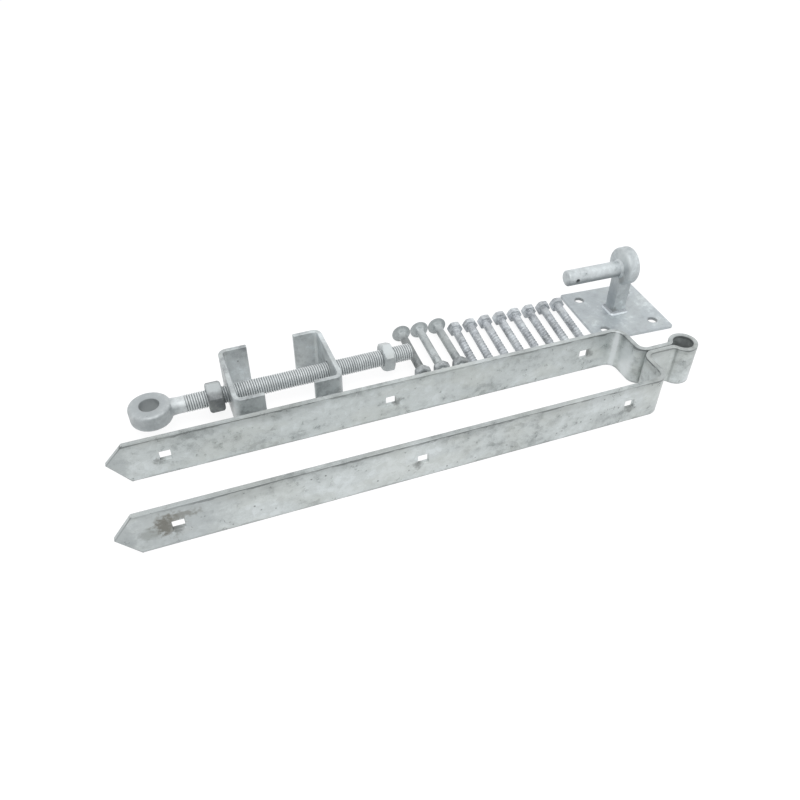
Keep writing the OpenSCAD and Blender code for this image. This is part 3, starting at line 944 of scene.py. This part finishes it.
@dataclass
class StrapBand:
    """The strap rolled round the hook pin and folded back into two pointed arms."""

    width: float = 48.0
    thickness: float = 5.0
    gap: float = 86.0
    arm: float = 565.0
    reach: float = 50.0
    bend: float = 11.0
    fold: float = 8.0
    roll: float = 4.5
    bore: float = 22.0
    seam: float = 0.6
    hole: float = 11.0
    hole_places: tuple[float, ...] = (96.0, 328.0, 560.0)
    point: float = 19.0
    rear_rise: float = 4.0
    rounding: float = 0.9

    def run(self) -> StrapRun:
        """Walks the strap from the front arm's point, round the eye, to the rear arm's.

        Returns:
            The walk.
        """
        half = self.thickness / 2
        neck = (self.seam + self.thickness) / 2
        turn = self.roll + half
        eye = self.bore / 2 + half
        swing = math.degrees(math.acos((neck + turn) / (eye + turn)))
        throat = (eye + turn) * math.sin(math.radians(swing))
        arm = self.arm - self.thickness - self.bend
        leg = self.gap / 2 - self.bend - (neck + self.fold + half)
        sides = self.reach - self.fold - throat
        walk = StrapRun(-self.reach - self.arm, -self.gap / 2 - half, 0.0, self.thickness)
        walk.ahead(arm).bend(90, self.bend).ahead(leg).bend(-90, self.fold).ahead(sides)
        walk.bend(-swing, self.roll).bend(180 + 2 * swing, self.bore / 2).bend(-swing, self.roll)
        walk.ahead(sides).bend(-90, self.fold).ahead(leg).bend(90, self.bend).ahead(arm)
        return walk

    def cutters(self) -> Shell:
        """Makes what is cut from the strap: the square holes, and the corners beside each point.

        Returns:
            The cutters.
        """
        tools = Shell()
        across = self.gap / 2 + 2 * self.thickness
        for place in self.hole_places:
            half = self.hole / 2
            left, right = -place - half, -place + half
            box = [(left, -across), (right, -across), (right, across), (left, across)]
            tools.prism(box, self.width / 2 - half, self.width / 2 + half)
        tip = -self.reach - self.arm
        for side, rise in ((-1, 0.0), (1, self.rear_rise)):
            middle = self.width / 2 + rise
            for edge, past in ((self.width, 1.0), (0.0, -1.0)):
                outline = [(tip - 2, middle), (tip, middle), (tip + self.point, edge),
                           (tip + self.point, edge + past), (tip - 2, edge + past)]
                if past < 0:
                    outline.reverse()
                wedge = Shell()
                wedge.prism(outline[::-1], 0, 3 * self.thickness)
                middle_y = side * (self.gap + self.thickness) / 2 + 1.5 * self.thickness
                tools.merge(wedge, moved(0, middle_y, 0) @ spun(90, "X"))
        return tools

    def build(self) -> None:
        """Builds and dresses the band."""
        band = self.run().shell(0.0, self.width).piece("strap_band")
        carve(band, self.cutters())
        soften(band, self.rounding)
        shade(band)
        self.mark_points(band)
        dress(band, "double_strap_band", replace(STRAP, stains_and_painted_light=self.stains_and_painted_light()))

    def mark_points(self, band: bpy.types.Object) -> None:
        """Marks the rounded edges of both sheared points, which the coat paints darker.

        Args:
            band: The finished band.
        """
        marks = band.data.attributes.get("groove") or band.data.attributes.new("groove", "FLOAT", "POINT")
        start = (self.point + 1 - self.reach - self.arm) * MM
        marks.data.foreach_set("value", [float(v.co.x < start and 0.15 < abs(v.normal.y) < 0.97)
                                         for v in band.data.vertices])

    def stains_and_painted_light(self) -> tuple[StainOrPaintedLight, ...]:
        """Places the rusty patch on the front arm's end, the dirt round the holes, painted shade in the eye's
        bore and its crease, and painted highlights on the rear cross leg.

        Returns:
            The patches, in the order in which they are laid on.
        """
        front, middle = -(self.gap + self.thickness) / 2, self.width / 2
        end, tip = -self.hole_places[-1], -self.reach - self.arm
        neck, crease = -self.reach - self.thickness, -(self.bore + self.thickness) / 2
        found = [StainOrPaintedLight((end - 5, front, middle), (56, 14, 44), (0.70, 0.725, 0.73), 0.6, 1.0),
                 StainOrPaintedLight((end - 24, front, middle - 3), (15, 14, 10), (0.60, 0.62, 0.61), 0.7, 2.0),
                 StainOrPaintedLight((end - 9, front, middle + 3), (16, 14, 19), (0.45, 0.44, 0.40), 0.66, 2.6),
                 StainOrPaintedLight((end - 13, front, middle + 2), (7, 14, 14), (0.38, 0.37, 0.33), 0.5, 3.2),
                 StainOrPaintedLight((end + 5, front, middle + 12), (17, 14, 8), (0.46, 0.455, 0.42), 0.6, 2.8),
                 StainOrPaintedLight((end + 3, front, middle - 9), (9, 14, 5), (0.76, 0.78, 0.78), 0.7, 1.8),
                 # Painted shade in the eye's bore and in the crease where the neck meets the eye.
                 StainOrPaintedLight((0.0, 0.0, middle), (16, 16, 60), DARK, 0.7, 0.4),
                 StainOrPaintedLight((crease, -self.thickness - 2, middle), (1.0, 6, 60), GREY, 0.35, 0.15),
                 # Painted highlights on the rear cross leg's inner face and inside its bend.
                 StainOrPaintedLight((neck, 21.0, middle), (7, 15, 30), PALE, 0.7, 0.8),
                 StainOrPaintedLight((neck - 4, self.gap / 2 - 4, middle), (4, 4, 60), PALE, 0.6, 0.4)]
        for side, spots in ((front, ((2, -6), (-5, -5), (-2, -7))), (-front, ((5, 1), (6, -3), (-8, -4)))):
            for place, (x, z) in zip(self.hole_places, spots):
                found.append(StainOrPaintedLight((-place + x, side, middle + z), (7, 6, 7), GREY, 0.75, 2.2))
            found.append(StainOrPaintedLight((tip + 4, side, middle), (20, 10, 30), (0.66, 0.685, 0.69), 0.6, 1.4))
        return tuple(found)


@dataclass
class HookPlate:
    """The plate for the post, with its welded stem, forged head and pin."""

    size: float = 103.0
    thickness: float = 4.0
    corner: float = 3.0
    hole: float = 11.0
    hole_pitch: float = 66.5
    turn: float = -2.8
    stem: float = 18.0
    stem_back: float = 2.0
    stem_turn: float = 1.8
    pin_height: float = 65.0
    head: float = 45.5
    head_thickness: float = 16.0
    head_rise: float = 2.5
    head_round: float = 4.0
    shoulder: float = 6.0
    pin: float = 19.0
    pin_length: float = 72.0
    split_hole: float = 5.0
    split_inset: float = 11.0
    stem_bead: float = 4.0
    pin_bead: float = 2.5
    on_plate: Matrix = field(init=False)
    on_stem: Matrix = field(init=False)

    def __post_init__(self) -> None:
        """Works out where the plate and the stem stand."""
        at = Vector(mount("plate_holes")["pos_m"]) / MM
        self.on_plate = Matrix.Translation(at) @ spun(self.turn, "Z")
        lean = spun(self.stem_turn, "Z")
        self.on_stem = self.on_plate @ moved(0, self.stem_back, 0) @ lean

    def on_pin(self) -> Matrix:
        """Where the pin's root is, with Z along the pin."""
        root = moved(-self.head_thickness / 2, 0, self.pin_height)
        return self.on_stem @ root @ spun(-90, "Y")

    def build(self) -> None:
        """Builds and dresses the five pieces of the hook."""
        self.build_plate()
        self.build_stem()
        self.build_pin()
        self.build_beads()

    def build_plate(self) -> None:
        """A sheared plate with rounded corners and four punched holes."""
        reach = self.size / 2 - self.corner
        outline = []
        for quarter in range(4):
            middle = Vector((reach, reach)) @ Matrix.Rotation(-math.radians(90) * quarter, 2)
            for step in range(7):
                angle = math.radians(90) * (quarter + step / 6)
                outline.append((middle.x + self.corner * math.cos(angle),
                                middle.y + self.corner * math.sin(angle)))
        shell = Shell()
        shell.prism(outline, 0, self.thickness)
        plate = shell.piece("hook_plate", self.on_plate)
        holes = Shell()
        foot = spot(self.on_stem, 0, 0, self.thickness)
        stains_and_painted_light = [StainOrPaintedLight(foot, (18, 18, 8), (0.62, 0.645, 0.67), 0.5, 0.8)]
        half = self.hole_pitch / 2
        for x, y in ((-half, -half), (-half, half), (half, -half), (half, half)):
            drill = Shell()
            drill.turned([Turn(-1, self.hole / 2), Turn(self.thickness + 1, self.hole / 2)])
            holes.merge(drill, moved(x, y, 0))
            hole = spot(self.on_plate, x, y, self.thickness / 2)
            # Painted shade on the wall of each hole and round its rim.
            stains_and_painted_light.append(StainOrPaintedLight(hole, (7.6, 7.6, 9), DARK, 0.95, 0.3))
        carve(plate, holes, self.on_plate)
        soften(plate, 0.6)
        shade(plate)
        dress(plate, "base_plate", replace(PLATE, stains_and_painted_light=tuple(stains_and_painted_light)))

    def build_stem(self) -> None:
        """The square stem and the round head, forged as one."""
        half, top = self.stem / 2, self.head_thickness / 2
        shoulder = self.pin_height - self.pin / 2 - self.pin_bead
        crown = self.pin_height + self.head_rise
        side = [(-half, self.thickness), (half, self.thickness), (half, shoulder - self.shoulder),
                (top, shoulder), (top, crown), (-top, crown), (-top, shoulder),
                (-half, shoulder - self.shoulder)]
        bar = Shell()
        bar.prism(side, -half, half)
        shell = Shell()
        shell.merge(bar, spun(90, "X"))
        rim, edge = self.head / 2, self.head_round
        turns = [Turn(edge - edge * math.cos(a), rim - edge + edge * math.sin(a)) for a in QUARTER_ARC]
        turns += [Turn(self.head_thickness - t.z, t.r) for t in reversed(turns)]
        disc = Shell()
        disc.turned(turns, steps=96)
        shell.merge(disc, moved(-top, 0, crown) @ spun(90, "Y"))
        stem = shell.piece("hook_stem_and_head", self.on_stem)
        forge(stem, grain=0.6, passes=5, lumps=0.10)
        shade(stem, 60)
        radius = self.pin / 2
        face = spot(self.on_stem, -top - 1, -4, crown + 13)
        foot = spot(self.on_stem, -half, -half, self.thickness + 3)
        under = spot(self.on_stem, -top - 1, -radius, self.pin_height - radius)
        flank = spot(self.on_stem, -half - 2, 0, 24)
        # Painted highlight on the upper left of the head's face; darker round the stem's front left foot;
        # painted shade under the pin and on the stem's left flank.
        stains_and_painted_light = (StainOrPaintedLight(face, (6, 17, 11), (0.86, 0.885, 0.89), 0.75, 1.0),
                  StainOrPaintedLight(foot, (8, 8, 8), GREY, 0.7, 2.0),
                  StainOrPaintedLight(under, (5, 7, 8), GREY, 0.5, 1.2),
                  StainOrPaintedLight(flank, (3.5, 16, 34), (0.66, 0.69, 0.71), 0.9, 0.5))
        dress(stem, "hook_stem", replace(HOOK, name="stem_coat", shade=(0.775, 0.80, 0.81),
                                         roughness=0.54, stains_and_painted_light=stains_and_painted_light))

    def build_pin(self) -> None:
        """The pin, with a rounded tip and the hole for its split pin."""
        radius, chamfer = self.pin / 2, self.pin / 10
        straight = self.pin_length - chamfer
        turns = [Turn(-1.0, radius)]
        turns += [Turn(2.0 * k, radius) for k in range(int(straight / 2) + 1)]
        turns += [Turn(straight + chamfer * math.sin(a), radius - chamfer + chamfer * math.cos(a))
                  for a in (math.radians(18 * k) for k in range(6))]
        shell = Shell()
        shell.turned(turns, steps=72)
        pin = shell.piece("hook_pin_bar", self.on_pin())
        drill = Shell()
        drill.turned([Turn(-self.pin, self.split_hole / 2), Turn(self.pin, self.split_hole / 2)], steps=32)
        carve(pin, drill, self.on_pin() @ moved(0, 0, self.pin_length - self.split_inset) @ spun(90, "X"))
        soften(pin, 0.35, segments=2, limit=50)
        shade(pin)
        underside = spot(self.on_pin(), -0.37 * self.pin, -0.42 * self.pin, self.pin_length / 2)
        root = spot(self.on_pin(), -self.pin / 4, 0, 0)
        # Painted shade along the pin's underside and round its root against the head.
        dress(pin, "hook_pin", replace(HOOK, name="pin_coat", stains_and_painted_light=(
            StainOrPaintedLight(underside, (2 * self.pin_length, 10, 10), SHADED, 0.9, 0.5),
            StainOrPaintedLight(root, (9, 11, 11), (0.64, 0.665, 0.675), 0.7, 0.8))))

    def build_beads(self) -> None:
        """The weld beads round the stem's foot and the pin's root."""
        half = self.stem / 2
        path = []
        for quarter in range(4):
            turn = Matrix.Rotation(math.radians(90) * quarter, 3, "Z")
            for step in range(24):
                path.append((turn @ Vector((half, half * (2 * step / 24 - 1), 0)), turn @ Vector((1, 0, 0))))
            for step in range(8):
                angle = math.radians(90) * step / 8
                out = Vector((math.cos(angle), math.sin(angle), 0))
                path.append((turn @ Vector((half, half, 0)), turn @ out))
        stem = bead(path, self.stem_bead, 44, hollow=0.22)
        foot = stem.piece("stem_weld_bead", self.on_stem @ moved(0, 0, self.thickness))
        shade(foot, 70)
        dress(foot, "stem_weld", BEAD)
        radius = self.pin / 2
        round_path = []
        for step in range(96):
            out = Vector((math.cos(FULL_TURN * step / 96), math.sin(FULL_TURN * step / 96), 0))
            round_path.append((radius * out, out))
        root = bead(round_path, self.pin_bead, 0, hollow=0.32).piece("pin_weld_bead", self.on_pin())
        shade(root, 70)
        dress(root, "pin_weld", HOOK)


def bead(path: Sequence[tuple[Vector, Vector]], leg: float, ripples: int, hollow: float = 0.10) -> Shell:
    """A fillet weld round a closed path in the XY plane.

    Args:
        path: Points in the corner that it fills, each with the way out from it.
        leg: How far it reaches along each wall.
        ripples: How many ripples it has in all, or 0 for a smooth one.
        hollow: How far its face is hollowed, in shares of its leg.

    Returns:
        The bead, with its back sunk in the corner.
    """
    made = Shell()
    rings = []
    up = Vector((0, 0, 1))
    for number, (corner, out) in enumerate(path):
        along = FULL_TURN * number / len(path)
        ring = [corner - 1.0 * out - 1.0 * up]
        for step in range(-2, 13):
            angle = math.radians(9) * step
            chevron = 1.6 * math.cos(angle - math.radians(45))
            wave = 0.035 * math.sin(ripples * along + chevron) if ripples else 0.0
            lump = 0.07 * noise.noise(Vector((7 * math.cos(along), 7 * math.sin(along), angle)))
            flat = hollow * math.sin(2 * min(max(angle, 0), math.radians(90)))
            reach = leg * min(1.0, 0.95 + wave + lump - flat)
            ring.append(corner + reach * (math.cos(angle) * out + math.sin(angle) * up))
        numbers = made.ring(ring)
        # Marks the half of the bead towards the wall, which the coat paints darker.
        for step, point in enumerate(numbers[1:], -2):
            made.grooves[point] = smooth((9 * step - 22) / 30) if ripples else 0.0
        rings.append(numbers)
    made.loft(rings, loop=True)
    return made


@dataclass
class HexNut:
    """A hexagon nut with turned corners, from z = 0 up."""

    flats: float
    thickness: float
    bore: float

    def shell(self) -> Shell:
        """Makes its skin, with a countersunk bore.

        Returns:
            The skin.
        """
        side, limit = self.flats / 2, self.flats / 2 / math.cos(HALF_SIDE)
        face = 0.95 * side
        sink = 0.5

        def chamfered(z: float, away: float) -> list[Turn]:
            """Rounds one end's corners off towards its flat face.

            Args:
                z: Where the face is.
                away: 1 if the nut lies above it, -1 if below.

            Returns:
                The stations from the face out to the corners.
            """
            stations = []
            for share in (0.0, 0.35, 0.7, 1.0):
                radius = face + (limit - face) * share
                stations.append(Turn(z + away * (radius - face) * math.tan(HALF_SIDE), side,
                                     Section.HEXAGON, radius))
            return stations

        low = chamfered(0.0, 1.0)
        high = chamfered(self.thickness, -1.0)[::-1]
        inside = [Turn(self.thickness, self.bore + sink), Turn(self.thickness - sink, self.bore),
                  Turn(sink, self.bore), Turn(0.0, self.bore + sink)]
        made = Shell()
        made.turned(low + high + inside, steps=96, loop=True)
        return made

    def piece(self, name: str, place: Matrix, rounding: float) -> bpy.types.Object:
        """Makes the nut an object, with a corner along the X axis of its place.

        Args:
            name: The object's name.
            place: Where its lower face is, with Z along its bore.
            rounding: Width of its rounded edges.

        Returns:
            The object.
        """
        nut = self.shell().piece(name, place @ spun(30, "Z"))
        soften(nut, rounding, segments=2, limit=24)
        shade(nut, 24)
        return nut


@dataclass
class Eyebolt:
    """The threaded rod with its forged ring, its two brackets and its two nuts."""

    rod: float = 19.0
    length: float = 287.0
    ring: float = 44.0
    bore: float = 20.0
    ring_thickness: float = 19.5
    ring_round: float = 3.5
    neck: float = 18.0
    neck_length: float = 11.0
    pitch: float = 2.54
    depth: float = 1.15
    bracket_width: float = 90.0
    bracket_height: float = 50.5
    flange: float = 31.5
    plate: float = 5.0
    bend: float = 4.5
    play: float = 0.8
    left_bracket_at: float = 80.0
    right_bracket_at: float = 195.0
    flats: float = 30.0
    left_nut: tuple[float, float] = (58.0, 16.0)
    right_nut: tuple[float, float] = (252.0, 12.0)
    on_rod: Matrix = field(init=False)

    def __post_init__(self) -> None:
        """Works out where the ring's axis is and where the rod points."""
        at = Vector(mount("eyebolt_ring")["pos_m"]) / MM
        self.on_rod = stand(at, Vector(joint("left_bracket_slide")["axis"]))

    def build(self) -> None:
        """Builds and dresses the eyebolt and what it carries."""
        self.build_rod()
        self.build_bracket("left_clamp_bracket", "left_bracket", self.left_bracket_at, 1)
        self.build_bracket("right_clamp_bracket", "right_bracket", self.right_bracket_at, -1)
        grey = replace(DULL_NUT.darker(0.80), name="left_nut_coat")
        for name, node, (at, thickness), coat in (
                ("left_hex_nut", "left_rod_nut", self.left_nut, grey),
                ("right_hex_nut", "right_rod_nut", self.right_nut, BRIGHT_NUT)):
            made = HexNut(self.flats, thickness, self.rod / 2 + NUT_PLAY)
            nut = made.piece(name, self.on_rod @ moved(0, 0, at), rounding=0.45)
            top = spot(self.on_rod, self.flats / 2, 0, at + thickness / 2)
            lit = StainOrPaintedLight(top, (15, 15, 9), (0.80, 0.825, 0.83), 0.8, 0.8)
            dress(nut, node, replace(coat, stains_and_painted_light=(lit,)))

    def build_rod(self) -> None:
        """The ring, its neck and the rod's thread, in one piece."""
        start = self.ring / 2 + self.neck_length
        rim, waist = self.ring / 2, self.neck / 2
        ring = Shell()
        ring.turned(self.ring_turns(), steps=96, loop=True)
        head = Shell()
        head.merge(ring, spun(-90, "Y"))
        head.turned([Turn(self.bore / 2 + 2.5, waist - 1.2), Turn(rim - 4, waist - 0.6),
                     Turn(rim + 0.5, waist + 0.4), Turn(rim + 4, waist), Turn(start + 1, waist)])
        eye = head.piece("eyebolt_ring", self.on_rod)
        forge(eye, grain=0.55, passes=6, lumps=0.10)
        bar = Shell()
        thread = Thread(start=start, end=self.length, crest=self.rod / 2, root=self.rod / 2 - self.depth,
                        pitch=self.pitch, shank=waist, run_in=4.0, chamfer=1.6, sharp=1.0)
        bar.bolt([Turn(start - 1.5, waist - 0.02)], thread, rows=8)
        rod = bar.piece("eyebolt_rod", self.on_rod)
        shade(rod, 60)
        shade(eye, 60)
        fused = join_pieces([eye, rod], "eyebolt_bar")
        middle = tuple(self.on_rod.translation)
        # The ring's zinc is darker, with painted shade in its bore.
        dress(fused, "eyebolt", replace(ROD, stains_and_painted_light=(
            StainOrPaintedLight(middle, (38, 38, 31), (0.64, 0.665, 0.675), 0.88, 0.8),
            StainOrPaintedLight(middle, (14, 14, 22), GREY, 0.6, 0.3))))

    def ring_turns(self) -> list[Turn]:
        """Works out the ring's skin.

        Returns:
            Its stations, up its outside and down its bore.
        """
        half, outer, inner = self.ring_thickness / 2, self.ring / 2, self.bore / 2
        rim, lip = self.ring_round + 0.3, 0.9
        up = [Turn(half - rim + rim * math.sin(a), outer - rim + rim * math.cos(a)) for a in QUARTER_ARC]
        down = [Turn(half - lip + lip * math.cos(a), inner + lip - lip * math.sin(a)) for a in QUARTER_ARC]
        upper = up + down
        return upper + [Turn(-t.z, t.r) for t in reversed(upper)]

    def build_bracket(self, name: str, node: str, at: float, way: int) -> None:
        """A channel bent from strap, with a hole for the rod.

        Args:
            name: The piece's name.
            node: The solid that it replaces.
            at: Place of its web's outside along the rod.
            way: 1 if its flanges point away from the ring, -1 if towards it.
        """
        half = self.bracket_width / 2
        straight = self.flange - self.plate - self.bend
        run = StrapRun(self.flange, half - self.plate / 2, 180, self.plate)
        run.ahead(straight).bend(90, self.bend).ahead(2 * (half - self.plate - self.bend))
        run.bend(90, self.bend).ahead(straight)
        flip = Matrix.Scale(way, 4, Vector((0, 0, 1)))
        upright = Matrix(((0, 0, 1, 0), (0, 1, 0, 0), (1, 0, 0, 0), (0, 0, 0, 1)))
        place = self.on_rod @ moved(0, 0, at) @ flip @ upright
        channel = run.shell(-self.bracket_height / 2, self.bracket_height / 2).piece(name, place)
        drill = Shell()
        reach = self.rod / 2 + self.play
        drill.turned([Turn(-2 * self.plate, reach), Turn(2 * self.plate, reach)], steps=64)
        carve(channel, drill, self.on_rod @ moved(0, 0, at))
        soften(channel, 0.9)
        shade(channel)
        dress(channel, node, BRACKET)


def join_pieces(pieces: Sequence[bpy.types.Object], name: str) -> bpy.types.Object:
    """Joins objects into the first one.

    Args:
        pieces: The objects.
        name: What they are called together.

    Returns:
        The first object, with the others in it.
    """
    with bpy.context.temp_override(active_object=pieces[0], selected_editable_objects=list(pieces)):
        bpy.ops.object.join()
    pieces[0].name = name
    pieces[0].data.name = name
    return pieces[0]


@dataclass
class CoachBolt:
    """A cup head coach bolt and its nut, lying on the floor."""

    number: int
    diameter: float = 10.0
    length: float = 86.0
    cup: float = 22.5
    cup_height: float = 6.5
    square: float = 6.0
    pitch: float = 1.5
    thread_length: float = 27.0
    nut_flats: float = 17.0
    nut_thickness: float = 8.0
    nut_at: float = 74.0

    def place(self) -> Matrix:
        """Where the bolt's head is, with Z along its shank."""
        turn = joint(f"coach_bolt_{self.number}_turn")
        return stand(Vector(turn["pos_m"]) / MM, -Vector(turn["axis"]))

    def build(self) -> None:
        """Builds and dresses the bolt and its nut."""
        rim, half = self.cup / 2, self.diameter / 2
        sphere = (rim ** 2 + self.cup_height ** 2) / (2 * self.cup_height)
        spread = math.asin(rim / sphere)
        dome = [Turn(sphere - self.cup_height - sphere * math.cos(a), sphere * math.sin(a))
                for a in (spread * k / 12 for k in range(1, 12))]
        edge = [Turn(-0.55, rim - 0.05), Turn(-0.25, rim), Turn(0.0, rim - 0.35)]
        underside = [Turn(0.25, rim - 1.6), Turn(0.8, rim - 3.4), Turn(1.9, rim - 4.6)]
        neck = [Turn(z, half, Section.SQUARE, limit) for z, limit in (
            (2.4, half * 1.30), (self.square - 1.2, half * 1.30), (self.square, half * 1.02))]
        thread = Thread(start=self.length - self.thread_length, end=self.length, crest=half, root=half - 0.75,
                        pitch=self.pitch, shank=half - 0.1, run_in=2.0, chamfer=1.0)
        shell = Shell()
        shell.bolt(dome + edge + underside + neck + [Turn(self.square + 0.8, half - 0.1)], thread, rows=6)
        place = self.place()
        bolt = shell.piece(f"cup_head_bolt_{self.number}", place)
        shade(bolt, 40)
        # The shank's coat is dimmed by its tone, which for the first bolt is a painted shadow of the rod's
        # end; the head keeps the plain colour.
        pale_head = StainOrPaintedLight(tuple(place.translation), (16, 16, 16), BOLT.shade, 0.8, 0.8)
        coat = replace(BOLT.darker(SHANK_TONES_AND_SHADOW[self.number - 1]), name=f"bolt_coat_{self.number}",
                       shift=(31.0 * self.number, 0.0, 17.0), stains_and_painted_light=(pale_head,))
        dress(bolt, f"coach_bolt_{self.number}", coat)
        made = HexNut(self.nut_flats, self.nut_thickness, half + NUT_PLAY)
        nut = made.piece(f"bolt_nut_{self.number}", place @ moved(0, 0, self.nut_at), rounding=0.3)
        dress(nut, f"coach_bolt_nut_{self.number}", DULL_NUT)


@dataclass
class CoachScrew:
    """A hexagon head coach screw, lying on a flat of its head."""

    number: int
    first: Point = (-204.0, 155.0, 8.0)
    spacing: float = 20.4
    slant: float = 0.6
    lean: float = 3.8
    lean_step: float = 0.1
    diameter: float = 10.0
    length: float = 75.0
    tip: float = 11.0
    flats: float = 16.0
    head: float = 7.0
    pitch: float = 4.6
    plain: float = 22.0

    def place(self) -> Matrix:
        """Finds where the screw lies.

        Returns:
            Where its head is, with Z along its shank.
        """
        step = self.number - 1
        at = Vector(self.first) + step * Vector((self.spacing, self.slant, 0))
        lean = math.radians(self.lean + step * self.lean_step)
        dip = math.atan((self.first[2] - self.diameter / 2) / (self.length - self.tip))
        along = Vector((-math.sin(lean) * math.cos(dip), -math.cos(lean) * math.cos(dip), -math.sin(dip)))
        return stand(at, along)

    def build(self) -> None:
        """Builds and dresses the screw."""
        half, side = self.diameter / 2, self.flats / 2
        corner = side / math.cos(HALF_SIDE)
        face = 0.93 * side
        slope = math.tan(HALF_SIDE)
        turns = [Turn(-self.head + (r - face) * slope, side, Section.HEXAGON, r)
                 for r in (face + (corner - face) * k / 3 for k in range(4))]
        turns += [Turn(-0.35, side, Section.HEXAGON, corner),
                  Turn(0.0, side - 0.35, Section.HEXAGON, corner - 0.4)]
        turns += [Turn(0.0, half + 0.9), Turn(0.5, half + 0.2), Turn(1.2, half)]
        thread = Thread(start=self.plain, end=self.length, crest=half, root=half - 0.85, pitch=self.pitch,
                        shank=half, run_in=3.5, taper=self.tip, tip=0.6, sharp=0.7)
        shell = Shell()
        shell.bolt(turns, thread, rows=12)
        screw = shell.piece(f"hex_head_screw_{self.number}", self.place())
        shade(screw, 40)
        coat = replace(SCREW, name=f"screw_coat_{self.number}", shift=(23.0 * self.number, 11.0, 0.0))
        dress(screw, f"coach_screw_{self.number}", coat)


@dataclass
class Studio:
    """The white floor, the soft light and the camera."""

    eye: Point = (-529.3, -510.3, 540.7)
    azimuth: float = -20.89
    elevation: float = 41.2
    roll: float = 0.53
    lens: float = 33.61
    sensor: float = 36.0
    floor: float = 8.0
    floor_drop: float = 0.0002
    panel_at: Point = (-0.3, -0.55, 1.45)
    panel_size: tuple[float, float] = (1.6, 1.2)
    panel_power: float = 9.0

    def build(self) -> None:
        """Sets up the camera, the light and the floor."""
        bpy.context.scene.view_settings.view_transform = "Standard"
        self.build_camera()
        self.build_light()
        self.build_floor()

    def build_camera(self) -> None:
        """Stands the camera where the photograph was taken from."""
        turn, rise, roll = (math.radians(a) for a in (self.azimuth, self.elevation, self.roll))
        back = Vector((math.sin(turn) * math.cos(rise), -math.cos(turn) * math.cos(rise), math.sin(rise)))
        level = (-back).cross(Vector((0, 0, 1))).normalized()
        upright = level.cross(-back)
        right = math.cos(roll) * level + math.sin(roll) * upright
        up = math.cos(roll) * upright - math.sin(roll) * level
        lens = bpy.data.cameras.new("camera")
        lens.sensor_width = self.sensor
        lens.lens = self.lens
        lens.clip_start = 0.01
        camera = bpy.data.objects.new("camera", lens)
        pose = Matrix((right, up, back)).transposed().to_4x4()
        camera.matrix_world = Matrix.Translation(Vector(self.eye) * MM) @ pose
        bpy.context.scene.collection.objects.link(camera)
        bpy.context.scene.camera = camera

    def build_light(self) -> None:
        """A pale room, brighter overhead and in front of the set, and one wide soft lamp above the camera."""
        world = bpy.data.worlds.new("room")
        world.use_nodes = True
        bpy.context.scene.world = world
        graph = Graph(world.node_tree)
        where = graph.add("ShaderNodeTexCoord", output="Generated")
        rise = graph.add("ShaderNodeSeparateXYZ", {}, {0: where}, "Z")
        depth = graph.add("ShaderNodeSeparateXYZ", {}, {0: where}, "Y")
        level = rise.ramp(-0.1, 1.0) * 0.60 + depth.ramp(1.0, -1.0) * 0.10 + 0.27
        seen = graph.background_rays()
        level = level * (1.0 - seen) + seen
        sky = graph.add("ShaderNodeBackground", {}, {"Color": WHITE, "Strength": level})
        graph.add("ShaderNodeOutputWorld", {}, {"Surface": sky})
        panel = bpy.data.lights.new("panel", "AREA")
        panel.shape = "RECTANGLE"
        panel.size, panel.size_y = self.panel_size
        panel.energy = self.panel_power
        lamp = bpy.data.objects.new("panel", panel)
        at = Vector(self.panel_at)
        aim = (at - Vector((at.x, 0, 0))).to_track_quat("Z", "Y").to_matrix().to_4x4()
        lamp.matrix_world = Matrix.Translation(at) @ aim
        bpy.context.scene.collection.objects.link(lamp)

    def build_floor(self) -> None:
        """A floor that the camera and the metal see as white, and that keeps a soft shadow."""
        half = self.floor / 2
        mesh = bpy.data.meshes.new("floor")
        corners = [(x * half, y * half, -self.floor_drop) for x, y in ((-1, -1), (1, -1), (1, 1), (-1, 1))]
        mesh.from_pydata(corners, [], [(0, 1, 2, 3)])
        floor = bpy.data.objects.new("floor", mesh)
        bpy.context.scene.collection.objects.link(floor)
        paint = bpy.data.materials.new("white_floor")
        paint.use_nodes = True
        graph = Graph(paint.node_tree)
        plain = graph.add("ShaderNodeBsdfDiffuse", {}, {"Color": (0.64, 0.64, 0.64, 1.0)})
        soft = graph.add("ShaderNodeBsdfDiffuse", {}, {"Color": (0.22, 0.22, 0.225, 1.0)})
        glow = graph.add("ShaderNodeEmission", {}, {"Color": WHITE, "Strength": 0.86})
        bright = graph.add("ShaderNodeAddShader", {}, {0: soft, 1: glow})
        both = graph.add("ShaderNodeMixShader", {}, {0: graph.background_rays(), 1: plain, 2: bright})
        graph.add("ShaderNodeOutputMaterial", {}, {"Surface": both})
        mesh.materials.append(paint)


def main() -> None:
    """Builds the studio and the set, piece by piece."""
    logging.basicConfig(level=logging.INFO, format="%(message)s")
    Studio().build()
    StrapBand().build()
    HookPlate().build()
    Eyebolt().build()
    for number in (1, 2, 3):
        CoachBolt(number).build()
    for number in range(1, 9):
        CoachScrew(number).build()


if __name__ == "__main__":
    main()
